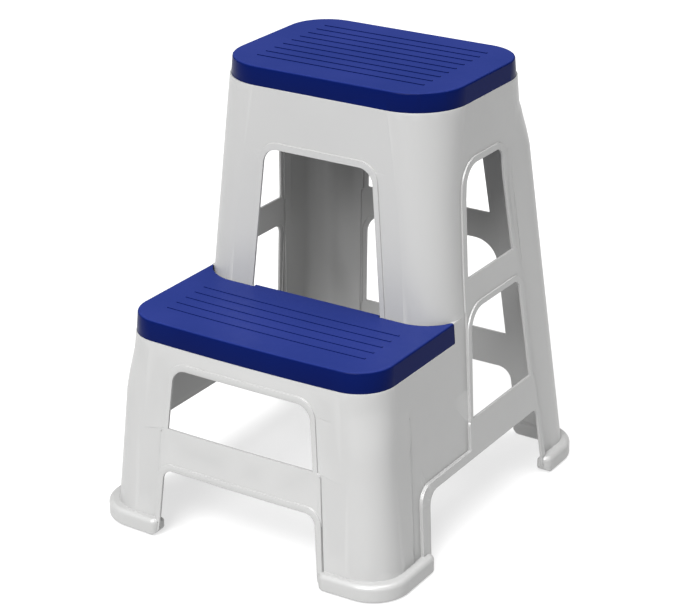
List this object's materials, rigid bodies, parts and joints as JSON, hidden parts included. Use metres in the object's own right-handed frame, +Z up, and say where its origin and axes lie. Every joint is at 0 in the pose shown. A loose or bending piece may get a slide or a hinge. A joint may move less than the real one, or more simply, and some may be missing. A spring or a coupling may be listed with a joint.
{
  "type": "two-step stool",
  "caption": "Free-standing moulded step stool with an upper and a lower tread, open rails and rolled feet.",
  "frame": {"origin": "floor, at the centre of the footprint", "axes": "+X to the right seen from the step side, +Y to the rear away from the lower step, +Z up"},
  "size_m": [0.3714, 0.4306, 0.48],
  "materials": {
    "grey_plastic": "satin moulded polypropylene",
    "blue_plastic": "glossy moulded polypropylene, satin on the tread",
    "foot_rubber": "matt rubber"
  },
  "bodies": {
    "root": {"body": "grey_plastic", "upper_cover": "blue_plastic", "lower_cover": "blue_plastic", "foot_front_right": "foot_rubber", "foot_front_left": "foot_rubber", "foot_rear_right": "foot_rubber", "foot_rear_left": "foot_rubber"}
  },
  "joints": []
}
